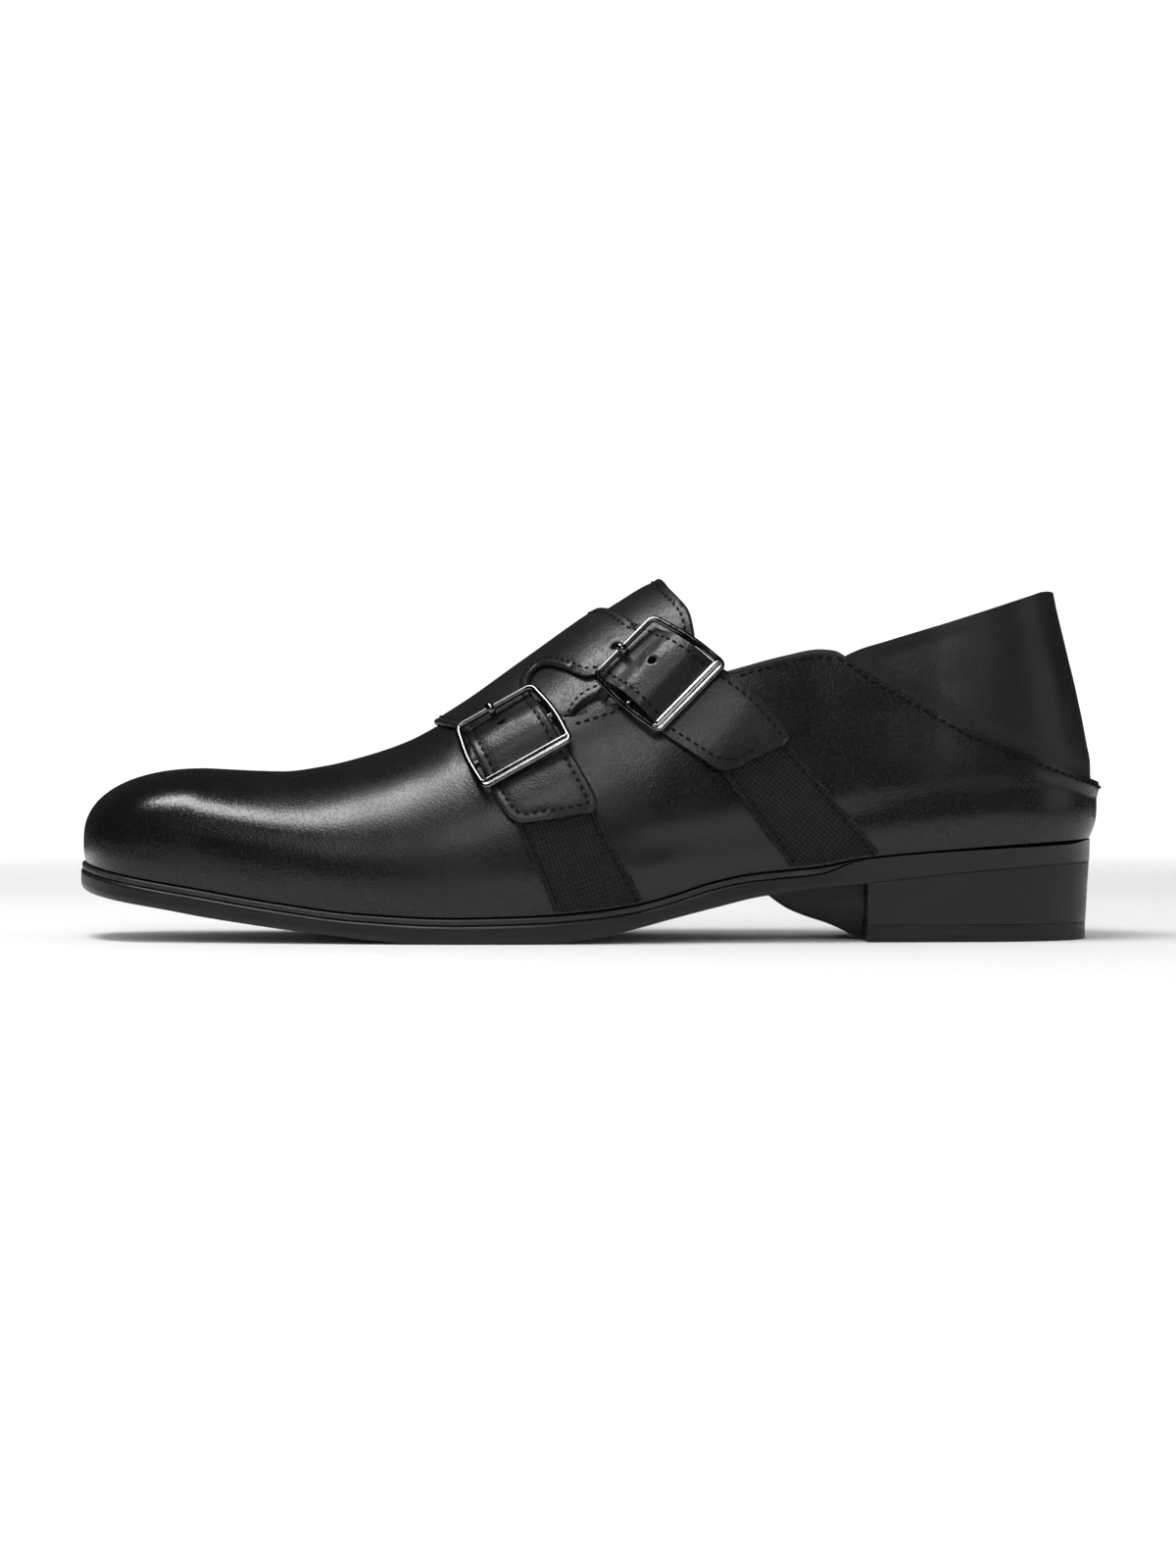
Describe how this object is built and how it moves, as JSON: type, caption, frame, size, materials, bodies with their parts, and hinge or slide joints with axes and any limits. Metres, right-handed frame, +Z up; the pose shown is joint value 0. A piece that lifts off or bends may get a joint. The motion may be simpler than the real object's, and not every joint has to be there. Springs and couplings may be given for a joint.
{
  "type": "double buckle monk-strap slip-on shoe, left",
  "caption": "Low leather slip-on with a square toe, buckled straps over the instep, a stacked heel and a soft back that can be folded down.",
  "frame": {"origin": "middle of the bounding box at floor level", "axes": "+X from toe to heel, +Y towards the inner side of the foot, +Z up"},
  "size_m": [0.2998, 0.0926, 0.1053],
  "materials": {
    "black_leather": "smooth black calf, satin",
    "sole_leather": "black waxed edge, low sheen",
    "insole_leather": "dark grey sock leather, soft sheen",
    "elastic": "black ribbed elastic tape",
    "buckle_metal": "polished dark nickel"
  },
  "bodies": {
    "root": {"outsole": "sole_leather", "midsole": "sole_leather", "heel_block": "sole_leather", "top_lift": "sole_leather", "insole": "insole_leather", "upper": "black_leather", "tongue": "black_leather", "back_panel": "black_leather", "strap_panel": "black_leather", "elastic_front": "elastic", "elastic_rear": "elastic", "buckle_front": "buckle_metal", "buckle_rear": "buckle_metal"}
  },
  "joints": []
}
